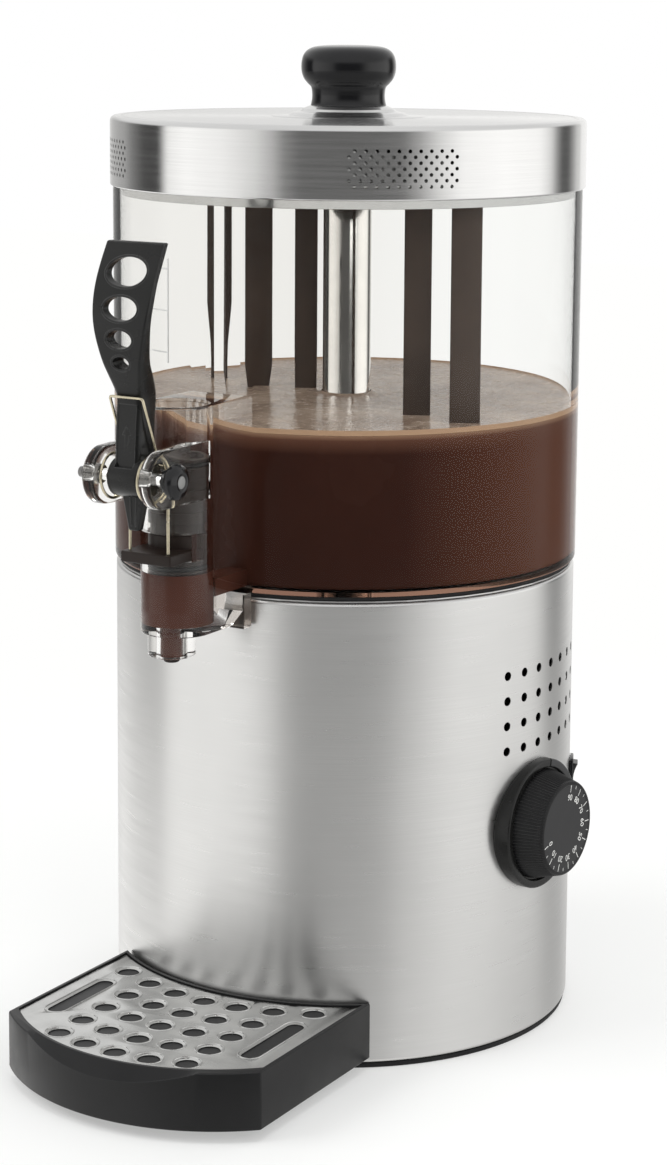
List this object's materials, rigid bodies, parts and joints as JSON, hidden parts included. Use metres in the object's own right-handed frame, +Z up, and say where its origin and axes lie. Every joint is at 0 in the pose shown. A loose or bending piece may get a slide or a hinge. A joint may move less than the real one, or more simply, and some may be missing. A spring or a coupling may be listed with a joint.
{
  "type": "hot chocolate dispenser",
  "caption": "Countertop hot chocolate dispenser with a clear stirred tank over a steel heated base, vented lid, lever tap, side dial and drip tray.",
  "frame": {"origin": "centre of the underside of the base pad, on the tank's axis", "axes": "+Z up along the tank, the tap and the tray towards -Y, the dial on the +X side"},
  "size_m": [0.306, 0.4163, 0.5852],
  "materials": {
    "brushed_steel": "brushed round the drum",
    "polished_steel": "polished",
    "zinc_steel": "dull zinc plate",
    "cast_metal": "cast, satin",
    "clear_plastic": "clear polished plastic",
    "black_rubber": "matte",
    "gloss_black_plastic": "gloss",
    "matte_black_plastic": "fine matte texture",
    "brown_plastic": "satin",
    "white_plastic": "satin",
    "pale_ceramic": "matte",
    "brass_wire": "polished",
    "copper_tube": "drawn copper",
    "heater_sheath": "dark oxide"
  },
  "bodies": {
    "base": {"base_pad": "black_rubber", "bottom_plate": "zinc_steel", "base_screw_1": "zinc_steel", "base_screw_2": "zinc_steel", "base_screw_3": "zinc_steel", "base_screw_4": "zinc_steel", "casing_shell": "brushed_steel", "water_bath": "brushed_steel", "heater_ring": "heater_sheath", "overheat_cutout": "pale_ceramic", "motor_bracket": "zinc_steel", "gearbox": "cast_metal", "drive_motor": "zinc_steel", "thermostat_body": "pale_ceramic", "dial_bezel": "gloss_black_plastic", "thermostat_bulb": "copper_tube", "capillary_tube": "copper_tube", "switch_housing": "gloss_black_plastic", "cable_gland": "gloss_black_plastic", "gland_nut": "gloss_black_plastic", "terminal_block": "pale_ceramic", "tank_gasket": "black_rubber"},
    "drive": {"gear_output_shaft": "polished_steel", "shaft_coupler": "cast_metal", "drive_shaft": "polished_steel"},
    "dial": {"dial_knob": "gloss_black_plastic", "dial_shaft": "brass_wire"},
    "rocker": {"switch_rocker": "gloss_black_plastic"},
    "tank_group": {"tank": "clear_plastic", "column_tube": "polished_steel", "column_seal": "black_rubber", "column_nut": "zinc_steel", "column_bush": "white_plastic", "pivot_pin": "polished_steel", "pin_cap": "gloss_black_plastic", "pin_clip": "polished_steel"},
    "lid": {"lid_shell": "brushed_steel", "lid_ring": "white_plastic", "lid_grip": "gloss_black_plastic", "grip_screw": "zinc_steel", "grip_washer": "zinc_steel"},
    "mixer": {"agitator": "brown_plastic", "agitator_cap": "brown_plastic"},
    "lever": {"tap_lever": "gloss_black_plastic", "return_spring": "brass_wire"},
    "valve": {"valve_piston": "brown_plastic", "piston_seal_lower": "black_rubber", "piston_seal_upper": "black_rubber", "valve_plug": "brown_plastic", "lift_stirrup": "brass_wire"},
    "tray": {"drip_tray": "matte_black_plastic"},
    "grille": {"drip_grille": "polished_steel"}
  },
  "joints": [
    {"name": "shaft_spin", "type": "hinge", "parent": "base", "child": "drive", "pos_m": [0, 0, 0.13], "axis": [0, 0, 1], "continuous": true},
    {"name": "tank_lift", "type": "slide", "parent": "base", "child": "tank_group", "axis": [0, 0, 1], "range_m": [0, 0.26]},
    {"name": "lid_lift", "type": "slide", "parent": "tank_group", "child": "lid", "axis": [0, 0, 1], "range_m": [0, 0.08]},
    {"name": "agitator_spin", "type": "hinge", "parent": "tank_group", "child": "mixer", "pos_m": [0, 0, 0.5], "axis": [0, 0, 1], "continuous": true},
    {"name": "lever_tilt", "type": "hinge", "parent": "tank_group", "child": "lever", "pos_m": [0, -0.2277, 0.356], "axis": [1, 0, 0], "range_deg": [0, 25], "stiffness_Nm_per_rad": 0.6, "springref_deg": -20.05},
    {"name": "valve_lift", "type": "slide", "parent": "tank_group", "child": "valve", "axis": [0, 0, 1], "range_m": [0, 0.0069]},
    {"name": "dial_turn", "type": "hinge", "parent": "base", "child": "dial", "pos_m": [0.13977, -0.01223, 0.13], "axis": [0.9962, -0.0872, 0], "range_deg": [0, 250]},
    {"name": "switch_rock", "type": "hinge", "parent": "base", "child": "rocker", "pos_m": [0.12715, 0.05929, 0.14], "axis": [0.4226, -0.9063, 0], "range_deg": [0, 16]},
    {"name": "tray_slide", "type": "slide", "parent": "base", "child": "tray", "axis": [0, -1, 0], "range_m": [0, 0.12]},
    {"name": "grille_lift", "type": "slide", "parent": "tray", "child": "grille", "axis": [0, 0, 1], "range_m": [0, 0.05]}
  ],
  "couplings": [
    {"joint": "agitator_spin", "follows": "shaft_spin", "ratio": 1},
    {"joint": "valve_lift", "follows": "lever_tilt", "m_per_rad": 0.0155}
  ]
}
